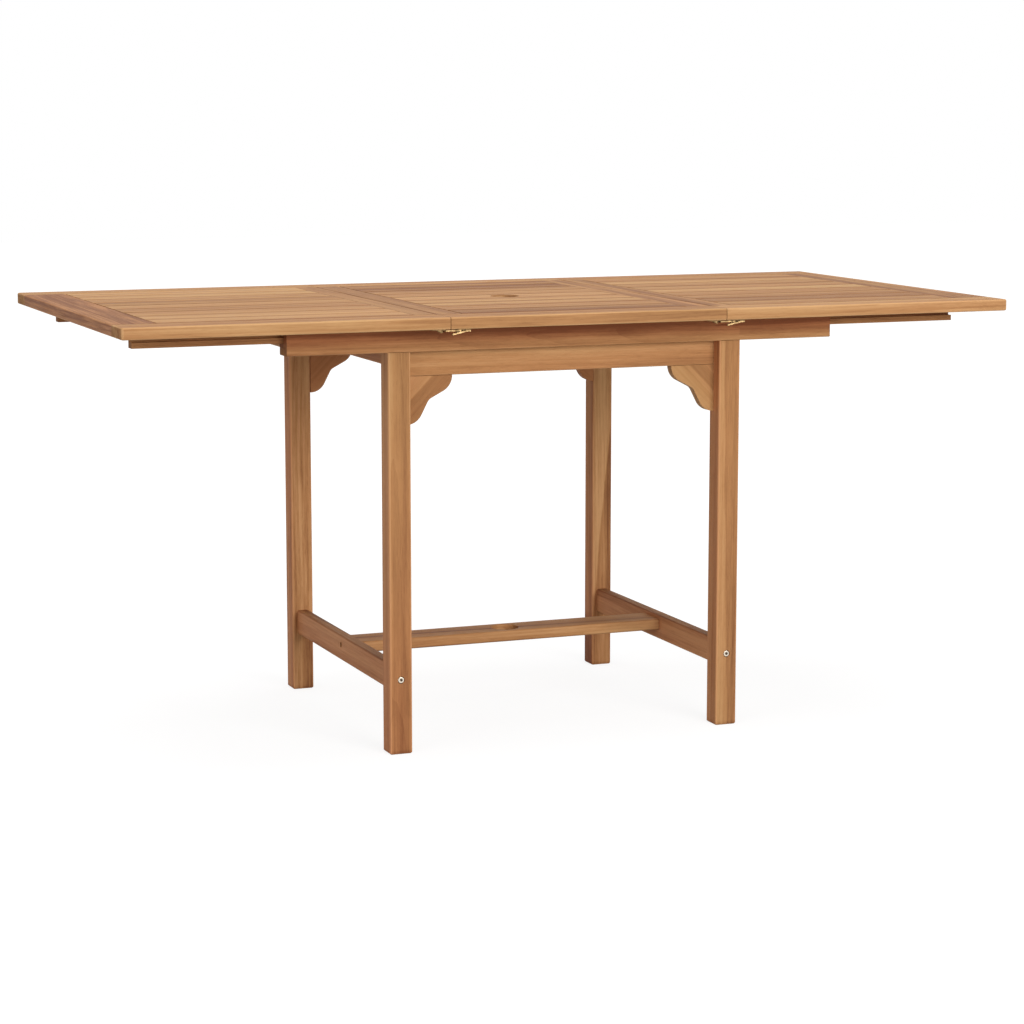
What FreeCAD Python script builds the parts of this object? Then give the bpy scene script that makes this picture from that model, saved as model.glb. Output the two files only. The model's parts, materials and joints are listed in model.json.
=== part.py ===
import FreeCAD, Part
import math
import os
import re
import Sketcher

# Extending garden table in oiled hardwood, drawn out with its centre leaf in place.
# Millimetres. The origin is on the floor under the middle of the top, X runs along the
# length from left to right, Y from front to rear, and Z up.

# Driving sizes: alias, number, meaning
SIZES = (
    ("table_length", "1600", "length of the top, drawn out"),
    ("table_width", "800", "width of the top"),
    ("table_height", "750", "height of the top"),
    ("insert_length", "500", "centre leaf, from the middle of one seam to the other"),
    ("seam_gap", "1", "gap at each seam of the top"),
    ("leaf_thickness", "20", "thickness of the top"),
    ("side_rail_width", "65", "boards along the front and rear edges"),
    ("end_board_width", "75", "boards at the ends of the table"),
    ("seam_board_width", "40", "boards of the end leaves at the seams"),
    ("insert_board_width", "45", "boards of the centre leaf at the seams"),
    ("slat_count", "9", "slats side by side in each leaf"),
    ("slat_gap", "4", "gap beside each slat"),
    ("board_edge_radius", "3", "rounding along the boards' edges"),
    ("table_corner_radius", "6", "rounding of the top's four corners, seen from above"),
    ("tongue_length", "10", "slat tongues"),
    ("tongue_thickness", "7", "slat tongues"),
    ("tongue_shoulder", "6", "step in width at a slat tongue"),
    ("leaf_tenon_length", "25", "tenons of the cross boards"),
    ("leaf_tenon_thickness", "7", "tenons of the cross boards"),
    ("leaf_tenon_shoulder", "8", "step in width at a cross board's tenon"),
    ("joint_clearance", "0.1", "glue line round a tongue or tenon"),
    ("tenon_end_gap", "0.5", "room past the end of a tongue, tenon, bolt or nut"),
    ("parasol_diameter", "50", "parasol holes in the top and the stretcher"),
    ("parasol_rim_radius", "2", "rounding of the parasol holes' rims"),
    ("leg_frame_length", "650", "outside of the legs along the length"),
    ("leg_frame_width", "600", "outside of the legs across the width"),
    ("leg_size", "40", "square section of a leg"),
    ("leg_edge_radius", "4", "rounding along a leg"),
    ("foot_chamfer", "2", "chamfer round the foot of a leg"),
    ("stub_tenon_length", "20", "leg's stub tenon, along the beam"),
    ("stub_tenon_height", "25", "leg's stub tenon, into the beam"),
    ("beam_length", "1000", "slide beams"),
    ("beam_width", "40", "slide beams"),
    ("beam_height", "45", "slide beams"),
    ("beam_edge_radius", "3", "rounding along a beam"),
    ("ledge_height", "20", "beam's ledge under the runner"),
    ("rebate_width", "12", "beam's rebate for the runner's web"),
    ("slide_groove_depth", "10", "beam's groove for the runner's tongue"),
    ("slide_groove_height", "10", "beam's groove for the runner's tongue"),
    ("slide_clearance", "0.3", "running gap round a runner"),
    ("runner_end_inset", "45", "runner's outer end from the table's end"),
    ("runner_seam_inset", "5", "runner's inner end from the leaf's seam edge"),
    ("long_apron_height", "43", "long aprons"),
    ("long_apron_thickness", "17", "long aprons and corner brackets"),
    ("apron_lip_radius", "6", "rounding of a long apron's upper outer edge"),
    ("apron_tenon_thickness", "8", "tenons of the aprons"),
    ("short_tenon_length", "16", "tenons of the short aprons"),
    ("long_tenon_shoulder", "6", "step in height at a long apron's tenon"),
    ("short_tenon_shoulder", "3", "step in height at a short apron's tenon"),
    ("tenon_wall", "6", "wood between the two tenons in a leg"),
    ("short_apron_thickness", "20", "short aprons"),
    ("short_apron_drop", "23", "short apron below the top of the legs"),
    ("short_apron_top_gap", "8", "short apron's upper edge below the top's underside"),
    ("short_apron_inset", "4", "short apron's outer face from the leg's"),
    ("end_rail_thickness", "20", "rails between the beams' ends"),
    ("end_rail_lift", "12", "end rail's lower edge above the beam's"),
    ("end_rail_top_gap", "6", "end rail's upper edge below the top's underside"),
    ("end_rail_tenon_length", "14", "tenons of the end rails"),
    ("end_rail_tenon_width", "12", "tenons of the end rails"),
    ("end_rail_tenon_cover", "2", "wood over an end rail's tenon, under the ledge"),
    ("bracket_reach", "82", "corner bracket along the leg and the apron"),
    ("bracket_valley", "40", "bracket's valley from the leg and from the apron"),
    ("bracket_lobe_radius", "30", "bracket's two lobes"),
    ("bracket_valley_radius", "16", "rounding in the bracket's valley"),
    ("stretcher_edge_radius", "3", "rounding along the stretchers"),
    ("side_stretcher_thickness", "20", "stretchers between front and rear legs"),
    ("side_stretcher_height", "45", "stretchers between front and rear legs"),
    ("side_stretcher_rise", "106", "side stretcher's lower edge above the floor"),
    ("centre_stretcher_width", "70", "stretcher along the middle"),
    ("centre_stretcher_thickness", "20", "stretcher along the middle"),
    ("centre_stretcher_lift", "18", "centre stretcher's underside above the side stretchers'"),
    ("bolt_diameter", "6", "frame bolts"),
    ("leg_bolt_head_diameter", "11", "bolts through the legs"),
    ("cross_bolt_head_diameter", "9", "bolts through the side stretchers"),
    ("bolt_head_height", "6", "frame bolts"),
    ("bolt_head_radius", "1", "rounding of a bolt head's rim"),
    ("leg_bolt_seat_diameter", "12.5", "seats of the bolt heads in the legs"),
    ("cross_bolt_seat_diameter", "9.6", "seats of the bolt heads in the side stretchers"),
    ("leg_bolt_recess", "6.5", "depth of the bolt head's seat in a leg"),
    ("cross_bolt_recess", "11", "depth of the bolt head's seat in a side stretcher"),
    ("bolt_grip", "30", "length of a bolt inside the end of a stretcher"),
    ("bolt_hole_clearance", "0.25", "gap round a bolt"),
    ("hex_socket_width", "5", "bolt's hexagon socket, across flats"),
    ("hex_socket_depth", "4.5", "bolt's hexagon socket"),
    ("nut_diameter", "10", "barrel nuts"),
    ("nut_length", "14", "barrel nuts"),
    ("nut_setback", "20", "barrel nut from the end of its stretcher"),
    ("nut_clearance", "0.1", "gap round a barrel nut"),
    ("thread_clearance", "0.05", "gap between a bolt and its nut, or a screw and its hole"),
    ("catch_inset", "24", "catch pivots and studs from the front and rear edges of the top"),
    ("pivot_setback", "23", "catch pivots from the middle of a seam"),
    ("stud_setback", "8", "catch studs from the middle of a seam"),
    ("plate_thickness", "2.5", "pivot plates and stud plates"),
    ("plate_width", "18", "pivot plates and stud plates"),
    ("plate_corner_radius", "3", "pivot plates and stud plates"),
    ("plate_length", "26", "pivot plates and stud plates"),
    ("plate_overlap", "6", "plate past its pivot or stud, towards the seam"),
    ("lever_thickness", "2.5", "catch levers"),
    ("lever_play", "0.25", "gap above and below a catch lever"),
    ("lever_hub_radius", "7", "catch lever round its pivot"),
    ("lever_arm_width", "8", "catch lever's arm"),
    ("lever_hook_radius", "7.5", "catch lever round the stud"),
    ("lever_tail_length", "16", "catch lever past its pivot, away from the seam"),
    ("lever_ear_length", "6", "ear at a lever's tail, from which the finger tab is bent"),
    ("tab_offset", "10", "middle of a finger tab from the line of pivot and stud"),
    ("tab_width", "5", "finger tabs"),
    ("tab_length", "26", "finger tabs, along the lever"),
    ("tab_drop", "5.5", "free end of a finger tab below the lever"),
    ("hook_mouth_angle", "40", "sweep of the hook's open mouth, in degrees"),
    ("pivot_diameter", "6", "catch pivots"),
    ("pivot_head_diameter", "10", "catch pivots"),
    ("pivot_head_thickness", "1.5", "catch pivots"),
    ("pivot_clearance", "0.1", "gap round a catch pivot"),
    ("stud_diameter", "6", "catch studs"),
    ("stud_overhang", "2", "stud's end below the lever"),
    ("stud_clearance", "0.5", "gap between stud and hook"),
    ("plate_screw_diameter", "3", "screws of the catches"),
    ("plate_screw_head_diameter", "6", "screws of the catches"),
    ("plate_screw_head_height", "1.5", "screws of the catches"),
    ("plate_screw_bite", "10", "screws of the catches, inside the top"),
    ("plate_screw_spacing", "10", "screws across a plate"),
    ("plate_screw_setback", "5", "screws from the end of a plate"),
    ("runner_screw_diameter", "4", "screws of the runners"),
    ("runner_screw_head_diameter", "8", "screws of the runners"),
    ("runner_screw_head_height", "2.5", "screws of the runners"),
    ("runner_screw_bite", "10", "screws of the runners, inside the top"),
    ("runner_screw_setback", "8", "screws from the ends of a runner"),
    ("cut_margin", "1", "how far a cutting shape stands out of the wood"),
)
NAMES = {alias for alias, _, _ in SIZES}

doc = FreeCAD.newDocument("garden_table")
sheet = doc.addObject("Spreadsheet::Sheet", "Sizes")
for row, (alias, size, meaning) in enumerate(SIZES, start=1):
    sheet.set(f"A{row}", meaning)
    sheet.set(f"B{row}", size)
    sheet.setAlias(f"B{row}", alias)
doc.recompute()

# Places that several pieces share, as formulas of the driving sizes
UNDERSIDE = "(table_height - leaf_thickness)"
LEG_TOP = f"({UNDERSIDE} - beam_height)"
LEG_X = "((leg_frame_length - leg_size) / 2)"
LEG_Y = "((leg_frame_width - leg_size) / 2)"
BETWEEN_LEGS_X = "(leg_frame_length / 2 - leg_size)"
BETWEEN_LEGS_Y = "(leg_frame_width / 2 - leg_size)"
BEAM_Y = "((leg_frame_width - beam_width) / 2)"
BETWEEN_BEAMS = "(leg_frame_width / 2 - beam_width)"
BEAM_WALL = "(beam_width - rebate_width - slide_groove_depth)"
STUB_THICKNESS = f"({BEAM_WALL} / 2)"
LONG_APRON_Y = f"({BETWEEN_LEGS_Y} + long_apron_thickness / 2)"
SHORT_APRON_X = "(leg_frame_length / 2 - short_apron_inset - short_apron_thickness / 2)"
LONG_TENON = ("(leg_size - short_apron_inset - (short_apron_thickness + apron_tenon_thickness) / 2"
              " - tenon_wall)")
END_RAIL_X = "((beam_length - end_rail_thickness) / 2)"
END_RAIL_TENON_HEIGHT = "(ledge_height - end_rail_lift - end_rail_tenon_cover)"
CENTRE_STRETCHER_Z = "(side_stretcher_rise + centre_stretcher_lift)"
LEG_BOLT_Z = "(side_stretcher_rise + side_stretcher_height / 2)"
CROSS_BOLT_Z = f"({CENTRE_STRETCHER_Z} + centre_stretcher_thickness / 2)"
BOLT_HOLE = "(bolt_diameter / 2 + bolt_hole_clearance)"
NUT_HOLE = "(nut_diameter / 2 + nut_clearance)"
SEAM_EDGE = "((insert_length + seam_gap) / 2)"
INSERT_EDGE = "((insert_length - seam_gap) / 2)"
SIDE_RAIL_Y = "((table_width - side_rail_width) / 2)"
BETWEEN_RAILS = "(table_width / 2 - side_rail_width)"
SLAT_WIDTH = f"((2 * {BETWEEN_RAILS} - (slat_count + 1) * slat_gap) / slat_count)"
RUNNER_Z = f"({LEG_TOP} + ledge_height + slide_clearance)"
RUNNER_HEIGHT = f"({UNDERSIDE} - {RUNNER_Z})"
RUNNER_SCREW_Y = f"({BETWEEN_BEAMS} + rebate_width / 2)"
CATCH_REACH = "(pivot_setback + stud_setback)"
LEVER_Z = f"({UNDERSIDE} - plate_thickness - lever_play - lever_thickness / 2)"

EAST = FreeCAD.Vector(1, 0, 0)
NORTH = FreeCAD.Vector(0, 1, 0)
UP = FreeCAD.Vector(0, 0, 1)
HALF_TURN = 180
HEXAGON_SIDE_COUNT = 6
TOUCHING = 1e-6
SIDES = (("left", -1), ("right", 1))
FACES = (("front", -1), ("rear", 1))

nodes = []


def tied(formula):
    """A formula of size names, as an expression on the sheet."""
    return re.sub(r"[a-z_]+", lambda w: "Sizes." + w[0] if w[0] in NAMES else w[0], formula)


def number(formula):
    """What a formula comes to with the sheet's present sizes."""
    return float(sheet.evalExpression(tied(formula)))


def place(thing, x, y, z):
    for axis, formula in zip("xyz", (x, y, z)):
        thing.setExpression("Placement.Base." + axis, tied(formula))


def centred(size):
    return f"-({size}) / 2", f"({size}) / 2"


def around(middle, half):
    return f"{middle} - ({half})", f"{middle} + ({half})"


def flip(sign, span):
    """A span measured outwards, turned to the side that sign names."""
    low, high = span
    return span if sign > 0 else (f"-({high})", f"-({low})")


def new_body(name, x, y, z, turn=FreeCAD.Rotation()):
    body = doc.addObject("PartDesign::Body", name)
    body.Label = name
    body.Placement = FreeCAD.Placement(FreeCAD.Vector(), turn)
    place(body, x, y, z)
    return body


def new_sketch(body, name, role):
    """An empty sketch on one of the body's own planes."""
    sketch = body.newObject("Sketcher::SketchObject", name)
    plane = next(f for f in body.Origin.OriginFeatures if f.Role == role)
    sketch.AttachmentSupport = [(plane, "")]
    sketch.MapMode = "FlatFace"
    return sketch


def constrain(sketch, name, size, kind, *where):
    """A dimension of a sketch, tied to a formula."""
    index = sketch.addConstraint(Sketcher.Constraint(kind, *where, number(size)))
    sketch.renameConstraint(index, name)
    sketch.setExpression("Constraints." + name, tied(size))


def outline(body, name, role, corners):
    """A closed outline with straight sides, each corner tied to its two formulas."""
    sketch = new_sketch(body, name, role)
    points = [FreeCAD.Vector(number(across), number(along), 0) for across, along in corners]
    for index, point in enumerate(points):
        sketch.addGeometry(Part.LineSegment(point, points[(index + 1) % len(points)]))
    for index, (across, along) in enumerate(corners):
        sketch.addConstraint(Sketcher.Constraint("Coincident", index, 2, (index + 1) % len(corners), 1))
        constrain(sketch, f"across_{index}", across, "DistanceX", -1, 1, index, 1)
        constrain(sketch, f"along_{index}", along, "DistanceY", -1, 1, index, 1)
    return sketch


def pad(body, name, sketch, length):
    """The sketch's outline made solid, half to each side of its plane."""
    feature = body.newObject("PartDesign::Pad", name)
    feature.Profile = sketch
    feature.setExpression("Length", tied(length))
    feature.SideType = "Symmetric"


def block(body, kind, name, x, y, z):
    """A box between the given spans, added to the body or cut from it."""
    feature = body.newObject(f"PartDesign::{kind}Box", name)
    place(feature, x[0], y[0], z[0])
    for size, (low, high) in zip(("Length", "Width", "Height"), (x, y, z)):
        feature.setExpression(size, tied(f"({high}) - ({low})"))


def rod(body, kind, name, radius, length, start, direction=UP):
    """A cylinder from a start point, added to the body or cut from it."""
    feature = body.newObject(f"PartDesign::{kind}Cylinder", name)
    feature.Placement = FreeCAD.Placement(FreeCAD.Vector(), FreeCAD.Rotation(UP, direction))
    place(feature, *start)
    feature.setExpression("Radius", tied(radius))
    feature.setExpression("Height", tied(length))


def cone(body, kind, name, low_radius, high_radius, length, start):
    feature = body.newObject(f"PartDesign::{kind}Cone", name)
    place(feature, *start)
    feature.setExpression("Radius1", tied(low_radius))
    feature.setExpression("Radius2", tied(high_radius))
    feature.setExpression("Height", tied(length))


def straight(edge, direction):
    """True for a straight edge along a direction."""
    if not isinstance(edge.Curve, Part.Line):
        return False
    run = edge.Vertexes[-1].Point - edge.Vertexes[0].Point
    return run.cross(direction).Length < TOUCHING * run.Length


def at_bottom(edge):
    return edge.BoundBox.ZMax < TOUCHING


def dress(body, kind, name, size, wanted):
    """Rounds or chamfers the edges of the body that are wanted."""
    doc.recompute()
    base = body.Tip
    edges = [f"Edge{i}" for i, edge in enumerate(base.Shape.Edges, start=1) if wanted(edge)]
    feature = body.newObject(f"PartDesign::{kind}", name)
    feature.Base = (base, edges)
    feature.setExpression("Radius" if kind == "Fillet" else "Size", tied(size))


def ease(body, direction, radius, wanted=lambda edge: True):
    """Rounds the straight edges along a direction."""
    dress(body, "Fillet", "eased", radius, lambda e: straight(e, direction) and wanted(e))


def keep(piece):
    nodes.append(piece)


def keep_group(name, pieces):
    group = doc.addObject("Part::Compound", name)
    group.Label = name
    group.Links = pieces
    keep(group)


# Legs

def make_leg(name, sx, sy):
    leg = new_body(name, f"{sx} * {LEG_X}", f"{sy} * {LEG_Y}", "0")
    block(leg, "Additive", "post", centred("leg_size"), centred("leg_size"), ("0", LEG_TOP))
    ease(leg, UP, "leg_edge_radius")
    dress(leg, "Chamfer", "foot", "foot_chamfer", at_bottom)
    stub_middle = f"(leg_size - {BEAM_WALL}) / 2"
    block(leg, "Additive", "stub_tenon", centred("stub_tenon_length"),
          flip(sy, around(stub_middle, f"{STUB_THICKNESS} / 2")),
          (LEG_TOP, f"{LEG_TOP} + stub_tenon_height"))
    cut_apron_mortises(leg, sx, sy)
    rod(leg, "Subtractive", "bolt_hole", BOLT_HOLE, "leg_size + 2 * cut_margin",
        ("0", "-leg_size / 2 - cut_margin", LEG_BOLT_Z), NORTH)
    seat = flip(sy, ("leg_size / 2 - leg_bolt_recess", "leg_size / 2 + cut_margin"))
    rod(leg, "Subtractive", "bolt_seat", "leg_bolt_seat_diameter / 2", "leg_bolt_recess + cut_margin",
        ("0", seat[0], LEG_BOLT_Z), NORTH)
    keep(leg)


def cut_apron_mortises(leg, sx, sy):
    half = "apron_tenon_thickness / 2 + joint_clearance"
    face = "leg_size / 2"
    long_middle = "(long_apron_thickness - leg_size) / 2"
    block(leg, "Subtractive", "long_mortise",
          flip(-sx, (f"{face} - {LONG_TENON} - tenon_end_gap", f"{face} + cut_margin")),
          flip(sy, around(long_middle, half)),
          (f"{LEG_TOP} - long_apron_height + long_tenon_shoulder - joint_clearance",
           f"{LEG_TOP} - long_tenon_shoulder + joint_clearance"))
    short_middle = "(leg_size - short_apron_thickness) / 2 - short_apron_inset"
    block(leg, "Subtractive", "short_mortise",
          flip(sx, around(short_middle, half)),
          flip(-sy, (f"{face} - short_tenon_length - tenon_end_gap", f"{face} + cut_margin")),
          (f"{LEG_TOP} - short_apron_drop + short_tenon_shoulder - joint_clearance",
           f"{LEG_TOP} - short_tenon_shoulder + joint_clearance"))


# Slide beams: a section with a ledge, a rebate and a side groove for the runners

def make_beam(name, sy):
    beam = new_body(name, "0", f"{sy} * {BEAM_Y}", LEG_TOP)
    outer, inner = "beam_width / 2", "-beam_width / 2"
    wall = f"{outer} - {BEAM_WALL}"
    groove_top = "ledge_height + slide_groove_height"
    corners = [
        (outer, "0"), (outer, "beam_height"), (f"{inner} + rebate_width", "beam_height"),
        (f"{inner} + rebate_width", groove_top), (wall, groove_top), (wall, "ledge_height"),
        (inner, "ledge_height"), (inner, "0"),
    ]
    section = outline(beam, "section", "YZ_Plane", [(f"{sy} * ({y})", z) for y, z in corners])
    pad(beam, "bar", section, "beam_length")
    side, top = number(outer), number("beam_height")

    def on_corner(edge):
        middle = edge.CenterOfMass
        return abs(abs(middle.y) - side) < TOUCHING and min(middle.z, top - middle.z) < TOUCHING

    ease(beam, EAST, "beam_edge_radius", on_corner)
    stub_middle = f"({outer} - {BEAM_WALL} / 2)"
    for sx in (-1, 1):
        block(beam, "Subtractive", "leg_mortise",
              around(f"{sx} * {LEG_X}", "stub_tenon_length / 2 + joint_clearance"),
              flip(sy, around(stub_middle, f"{STUB_THICKNESS} / 2 + joint_clearance")),
              ("-cut_margin", "stub_tenon_height + tenon_end_gap"))
        block(beam, "Subtractive", "rail_mortise",
              around(f"{sx} * {END_RAIL_X}", "end_rail_tenon_width / 2 + joint_clearance"),
              flip(sy, (f"{inner} - cut_margin", f"{inner} + end_rail_tenon_length + tenon_end_gap")),
              ("end_rail_lift - joint_clearance",
               f"end_rail_lift + {END_RAIL_TENON_HEIGHT} + joint_clearance"))
    keep(beam)


# Aprons and end rails

def make_long_apron(name, sy):
    apron = new_body(name, "0", f"{sy} * {LONG_APRON_Y}", f"{LEG_TOP} - long_apron_height")
    block(apron, "Additive", "board", (f"-{BETWEEN_LEGS_X}", BETWEEN_LEGS_X),
          centred("long_apron_thickness"), ("0", "long_apron_height"))
    ease(apron, EAST, "apron_lip_radius",
         lambda edge: not at_bottom(edge) and sy * edge.CenterOfMass.y > 0)
    ease(apron, EAST, "board_edge_radius", at_bottom)
    block(apron, "Additive", "tenons",
          (f"-{BETWEEN_LEGS_X} - {LONG_TENON}", f"{BETWEEN_LEGS_X} + {LONG_TENON}"),
          centred("apron_tenon_thickness"),
          ("long_tenon_shoulder", "long_apron_height - long_tenon_shoulder"))
    keep(apron)


def make_short_apron(name, sx):
    """A board whose lower part fits between the legs and whose upper part ties the beams."""
    apron = new_body(name, f"{sx} * {SHORT_APRON_X}", "0", f"{LEG_TOP} - short_apron_drop")
    block(apron, "Additive", "lower_part", centred("short_apron_thickness"),
          (f"-{BETWEEN_LEGS_Y}", BETWEEN_LEGS_Y), ("0", "short_apron_drop"))
    ease(apron, NORTH, "board_edge_radius", at_bottom)
    block(apron, "Additive", "upper_part", centred("short_apron_thickness"),
          (f"-{BETWEEN_BEAMS}", BETWEEN_BEAMS),
          ("short_apron_drop", "short_apron_drop + beam_height - short_apron_top_gap"))
    block(apron, "Additive", "tenons", centred("apron_tenon_thickness"),
          (f"-{BETWEEN_LEGS_Y} - short_tenon_length", f"{BETWEEN_LEGS_Y} + short_tenon_length"),
          ("short_tenon_shoulder", "short_apron_drop - short_tenon_shoulder"))
    keep(apron)


def make_end_rail(name, sx):
    rail = new_body(name, f"{sx} * {END_RAIL_X}", "0", f"{LEG_TOP} + end_rail_lift")
    block(rail, "Additive", "board", centred("end_rail_thickness"),
          (f"-{BETWEEN_BEAMS}", BETWEEN_BEAMS), ("0", "beam_height - end_rail_lift - end_rail_top_gap"))
    ease(rail, NORTH, "board_edge_radius")
    block(rail, "Additive", "tenons", centred("end_rail_tenon_width"),
          (f"-{BETWEEN_BEAMS} - end_rail_tenon_length", f"{BETWEEN_BEAMS} + end_rail_tenon_length"),
          ("0", END_RAIL_TENON_HEIGHT))
    keep(rail)


# Scalloped corner brackets: two round lobes that meet in a soft valley on the diagonal

def make_bracket(name, sx, sy):
    turn = FreeCAD.Rotation(UP, HALF_TURN if sx > 0 else 0)
    bracket = new_body(name, f"{sx} * {BETWEEN_LEGS_X}", f"{sy} * {LONG_APRON_Y}",
                       f"{LEG_TOP} - long_apron_height", turn)
    sketch = new_sketch(bracket, "scallops", "XZ_Plane")
    draw_scallops(sketch)
    pad(bracket, "board", sketch, "long_apron_thickness")
    valley = number("bracket_valley")

    def in_valley(edge):
        return straight(edge, NORTH) and abs(edge.CenterOfMass.x - valley) < TOUCHING

    dress(bracket, "Fillet", "valley", "bracket_valley_radius", in_valley)
    keep(bracket)


def draw_scallops(sketch):
    """The bracket's outline: straight along the apron and the leg, and a lobe towards each."""
    reach, valley = number("bracket_reach"), number("bracket_valley")
    radius = number("bracket_lobe_radius")
    point = FreeCAD.Vector
    upper = Part.Circle(point(reach - radius, 0, 0), UP, radius)
    lower = Part.Circle(point(0, radius - reach, 0), UP, radius)
    bottom = point(valley, -valley, 0)
    away = bottom - upper.Center
    touch = math.atan2(away.y, away.x) + math.acos(radius / away.Length)
    lobe_end = upper.value(touch)
    foot_start = point(-lobe_end.y, -lobe_end.x, 0)
    right_angle = math.pi / 2
    sketch.addGeometry([
        Part.LineSegment(point(0, 0, 0), point(reach, 0, 0)),
        Part.ArcOfCircle(upper, touch, 0),
        Part.LineSegment(lobe_end, bottom),
        Part.LineSegment(bottom, foot_start),
        Part.ArcOfCircle(lower, -right_angle, -right_angle - touch),
        Part.LineSegment(point(0, -reach, 0), point(0, 0, 0)),
    ])
    start, end, middle, origin = 1, 2, 3, (-1, 1)
    apron, lobe, slope, rise, foot, leg = range(6)
    sketch.addConstraint([Sketcher.Constraint(*parts) for parts in (
        ("Coincident", apron, start, *origin),
        ("Horizontal", apron),
        ("Coincident", apron, end, lobe, end),
        ("PointOnObject", lobe, middle, apron),
        ("Tangent", lobe, start, slope, start),
        ("Coincident", slope, end, rise, start),
        ("Tangent", rise, end, foot, end),
        ("PointOnObject", foot, middle, leg),
        ("Coincident", foot, start, leg, start),
        ("Coincident", leg, end, *origin),
        ("Vertical", leg),
    )])
    constrain(sketch, "reach", "bracket_reach", "Distance", apron)
    constrain(sketch, "drop", "bracket_reach", "Distance", leg)
    constrain(sketch, "lobe", "bracket_lobe_radius", "Radius", lobe)
    constrain(sketch, "foot", "bracket_lobe_radius", "Radius", foot)
    constrain(sketch, "valley_in", "bracket_valley", "DistanceX", *origin, slope, end)
    constrain(sketch, "valley_down", "bracket_valley", "DistanceY", slope, end, *origin)


# Stretchers, with their bolt holes

def make_side_stretcher(name, sx):
    stretcher = new_body(name, f"{sx} * {LEG_X}", "0", "side_stretcher_rise")
    half = "side_stretcher_thickness / 2"
    block(stretcher, "Additive", "board", centred("side_stretcher_thickness"),
          (f"-{BETWEEN_LEGS_Y}", BETWEEN_LEGS_Y), ("0", "side_stretcher_height"))
    ease(stretcher, NORTH, "stretcher_edge_radius")
    middle = "side_stretcher_height / 2"
    for sy in (-1, 1):
        hole = flip(sy, (f"{BETWEEN_LEGS_Y} - bolt_grip - tenon_end_gap", f"{BETWEEN_LEGS_Y} + cut_margin"))
        rod(stretcher, "Subtractive", "bolt_hole", BOLT_HOLE, "bolt_grip + tenon_end_gap + cut_margin",
            ("0", hole[0], middle), NORTH)
        cut_nut_hole(stretcher, "0", f"{sy} * ({BETWEEN_LEGS_Y} - nut_setback)", middle)
    cross_height = f"{CROSS_BOLT_Z} - side_stretcher_rise"
    rod(stretcher, "Subtractive", "cross_hole", BOLT_HOLE, "side_stretcher_thickness + 2 * cut_margin",
        (f"-{half} - cut_margin", "0", cross_height), EAST)
    seat = flip(sx, (f"{half} - cross_bolt_recess", f"{half} + cut_margin"))
    rod(stretcher, "Subtractive", "cross_seat", "cross_bolt_seat_diameter / 2",
        "cross_bolt_recess + cut_margin", (seat[0], "0", cross_height), EAST)
    keep(stretcher)


def make_centre_stretcher(name):
    stretcher = new_body(name, "0", "0", CENTRE_STRETCHER_Z)
    half = f"({LEG_X} - side_stretcher_thickness / 2)"
    block(stretcher, "Additive", "board", (f"-{half}", half), centred("centre_stretcher_width"),
          ("0", "centre_stretcher_thickness"))
    ease(stretcher, EAST, "stretcher_edge_radius")
    cut_parasol_hole(stretcher, "centre_stretcher_thickness", "0")
    middle = "centre_stretcher_thickness / 2"
    for sx in (-1, 1):
        hole = flip(sx, (f"{half} - bolt_grip - tenon_end_gap", f"{half} + cut_margin"))
        rod(stretcher, "Subtractive", "bolt_hole", BOLT_HOLE, "bolt_grip + tenon_end_gap + cut_margin",
            (hole[0], "0", middle), EAST)
        cut_nut_hole(stretcher, f"{sx} * ({half} - nut_setback)", "0", middle)
    keep(stretcher)


def cut_nut_hole(stretcher, x, y, bolt_height):
    """A barrel nut's hole, from the underside up to just past the nut."""
    rod(stretcher, "Subtractive", "nut_hole", NUT_HOLE,
        f"cut_margin + {bolt_height} + nut_length / 2 + tenon_end_gap", (x, y, "-cut_margin"))


def cut_parasol_hole(body, thickness, y):
    rod(body, "Subtractive", "parasol_hole", "parasol_diameter / 2", f"{thickness} + 2 * cut_margin",
        ("0", y, "-cut_margin"))
    dress(body, "Fillet", "rims", "parasol_rim_radius", lambda edge: isinstance(edge.Curve, Part.Circle))


# Socket-head bolts and barrel nuts

def make_bolt(name, head_diameter, length, at, outwards):
    bolt = new_body(name, *at, FreeCAD.Rotation(UP, outwards))
    rod(bolt, "Additive", "head", f"{head_diameter} / 2", "bolt_head_height", ("0", "0", "0"))
    dress(bolt, "Fillet", "rim", "bolt_head_radius",
          lambda edge: isinstance(edge.Curve, Part.Circle) and not at_bottom(edge))
    socket = bolt.newObject("PartDesign::SubtractivePrism", "socket")
    place(socket, "0", "0", "bolt_head_height - hex_socket_depth")
    socket.Polygon = HEXAGON_SIDE_COUNT
    socket.setExpression("Circumradius", tied("hex_socket_width / sqrt(3)"))
    socket.setExpression("Height", tied("hex_socket_depth + cut_margin"))
    rod(bolt, "Additive", "shank", "bolt_diameter / 2", length, ("0", "0", f"-({length})"))
    return bolt


def make_nut(name, at, bolt_direction):
    """An upright barrel with a thread across it."""
    nut = new_body(name, *at)
    rod(nut, "Additive", "barrel", "nut_diameter / 2", "nut_length", ("0", "0", "-nut_length / 2"))
    thread_start = tuple(f"-nut_diameter * {part:g}" for part in bolt_direction)
    rod(nut, "Subtractive", "thread", "bolt_diameter / 2 + thread_clearance", "2 * nut_diameter",
        thread_start, bolt_direction)
    return nut


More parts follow.
